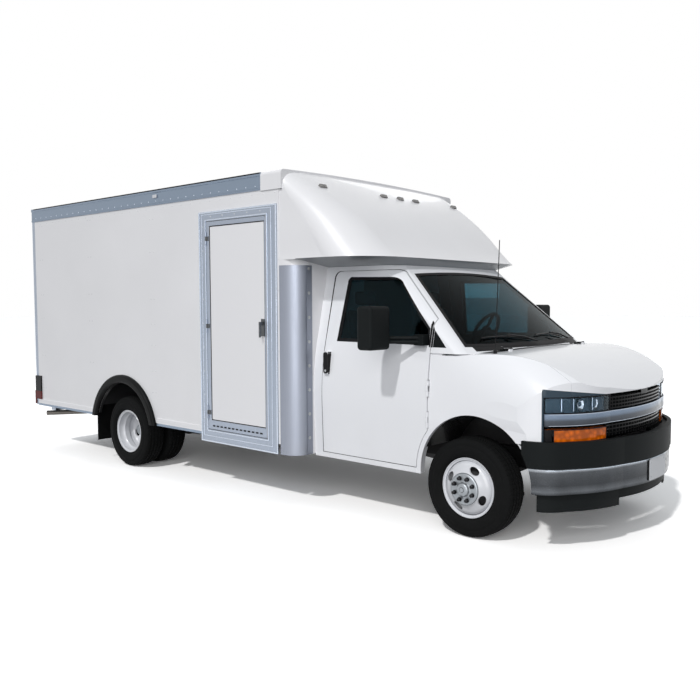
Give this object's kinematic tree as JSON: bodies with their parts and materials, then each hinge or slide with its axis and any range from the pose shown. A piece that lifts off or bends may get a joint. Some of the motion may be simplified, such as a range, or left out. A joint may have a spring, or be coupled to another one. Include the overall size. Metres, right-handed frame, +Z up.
{
  "type": "box truck",
  "caption": "Full-size box truck: a cutaway van cab with a moulded nose cap, a walk-in box body with side and rear doors, and twin rear wheels.",
  "frame": {"origin": "on the ground, under the middle of the whole vehicle", "axes": "+X towards the front of the vehicle, +Y to its left, +Z up"},
  "size_m": [6.965, 2.72, 2.798],
  "materials": {
    "frame_black": "satin black chassis paint",
    "engine_grey": "bare casting",
    "cast_grey": "bare casting",
    "tank_black": "matt",
    "exhaust_steel": "dull",
    "cab_floor_grey": "rubber mat over steel",
    "cab_white": "gloss",
    "box_white": "gel coat",
    "cap_white": "gel coat",
    "tinted_glass": "tinted, clear",
    "interior_grey": "grained",
    "seat_fabric": "woven",
    "black_trim": "grained",
    "grille_dark": "satin",
    "lamp_clear": "clear lens over a bright reflector",
    "lamp_amber": "moulded lens",
    "lamp_marker": "moulded lens",
    "lamp_red": "moulded lens",
    "bumper_chrome": "bright",
    "antenna_steel": "dark",
    "floor_wood": "oiled planks",
    "rail_aluminium": "mill finish",
    "flare_rubber": "matt",
    "wheel_white": "silver-white wheel paint",
    "tyre_black": "matt"
  },
  "bodies": {
    "chassis": {"chassis_frame": "frame_black", "engine": "engine_grey", "front_suspension": "frame_black", "rear_axle": "frame_black", "fuel_tank": "tank_black", "exhaust": "exhaust_steel", "cab_floor": "cab_floor_grey", "cab_shell": "cab_white", "wing_left": "cab_white", "wing_right": "cab_white", "windshield": "tinted_glass", "dashboard": "interior_grey", "seats": "seat_fabric", "cowl_panel": "black_trim", "grille": "grille_dark", "headlamps": "lamp_clear", "turn_signals": "lamp_amber", "bumper_front": "bumper_chrome", "bumper_pad": "black_trim", "antenna": "antenna_steel", "box_floor": "floor_wood", "box_wall_left": "box_white", "box_wall_right": "box_white", "box_roof": "box_white", "box_rails": "rail_aluminium", "corner_posts": "rail_aluminium", "front_wall": "box_white", "front_cap": "cap_white", "side_door_frame": "rail_aluminium", "rear_frame": "rail_aluminium", "wheel_flares": "flare_rubber", "tail_lamps": "lamp_red", "marker_lamps": "lamp_marker"},
    "knuckle_left": {"knuckle_left": "cast_grey"},
    "knuckle_right": {"knuckle_right": "cast_grey"},
    "wheel_front_left": {"rim_front_left": "wheel_white", "tyre_front_left": "tyre_black"},
    "wheel_front_right": {"rim_front_right": "wheel_white", "tyre_front_right": "tyre_black"},
    "wheel_rear_left": {"rims_rear_left": "wheel_white", "tyres_rear_left": "tyre_black"},
    "wheel_rear_right": {"rims_rear_right": "wheel_white", "tyres_rear_right": "tyre_black"},
    "door_cab_left": {"cab_door_left": "cab_white", "door_glass_left": "tinted_glass", "mirror_left": "black_trim"},
    "door_cab_right": {"cab_door_right": "cab_white", "door_glass_right": "tinted_glass", "mirror_right": "black_trim"},
    "door_side": {"side_door": "box_white"},
    "door_rear_left": {"rear_door_left": "box_white"},
    "door_rear_right": {"rear_door_right": "box_white"},
    "hood_panel": {"hood": "cab_white"}
  },
  "joints": [
    {"name": "steer_left", "type": "hinge", "parent": "chassis", "child": "knuckle_left", "pos_m": [2.4575, 0.775, 0.362], "axis": [0, 0, 1], "range_deg": [-32, 32]},
    {"name": "steer_right", "type": "hinge", "parent": "chassis", "child": "knuckle_right", "pos_m": [2.4575, -0.775, 0.362], "axis": [0, 0, 1], "range_deg": [-32, 32]},
    {"name": "spin_front_left", "type": "hinge", "parent": "knuckle_left", "child": "wheel_front_left", "pos_m": [2.4575, 0.843, 0.362], "axis": [0, 1, 0], "continuous": true},
    {"name": "spin_front_right", "type": "hinge", "parent": "knuckle_right", "child": "wheel_front_right", "pos_m": [2.4575, -0.843, 0.362], "axis": [0, 1, 0], "continuous": true},
    {"name": "spin_rear_left", "type": "hinge", "parent": "chassis", "child": "wheel_rear_left", "pos_m": [-1.5815, 0.918, 0.362], "axis": [0, 1, 0], "continuous": true},
    {"name": "spin_rear_right", "type": "hinge", "parent": "chassis", "child": "wheel_rear_right", "pos_m": [-1.5815, -0.918, 0.362], "axis": [0, 1, 0], "continuous": true},
    {"name": "cab_door_left_hinge", "type": "hinge", "parent": "chassis", "child": "door_cab_left", "pos_m": [2.137, 0.994, 1], "axis": [0, 0, -1], "range_deg": [0, 68]},
    {"name": "cab_door_right_hinge", "type": "hinge", "parent": "chassis", "child": "door_cab_right", "pos_m": [2.137, -0.994, 1], "axis": [0, 0, 1], "range_deg": [0, 68]},
    {"name": "side_door_hinge", "type": "hinge", "parent": "chassis", "child": "door_side", "pos_m": [-0.167, -1.209, 1.4], "axis": [0, 0, -1], "range_deg": [0, 110]},
    {"name": "rear_door_left_hinge", "type": "hinge", "parent": "chassis", "child": "door_rear_left", "pos_m": [-3.4495, 1.0875, 1.6], "axis": [0, 0, -1], "range_deg": [0, 175]},
    {"name": "rear_door_right_hinge", "type": "hinge", "parent": "chassis", "child": "door_rear_right", "pos_m": [-3.4495, -1.0875, 1.6], "axis": [0, 0, 1], "range_deg": [0, 175]},
    {"name": "hood_hinge", "type": "hinge", "parent": "chassis", "child": "hood_panel", "pos_m": [2.58, 0, 1.35], "axis": [0, -1, 0], "range_deg": [0, 50]}
  ],
  "couplings": [
    {"joint": "steer_right", "follows": "steer_left", "ratio": 1}
  ]
}
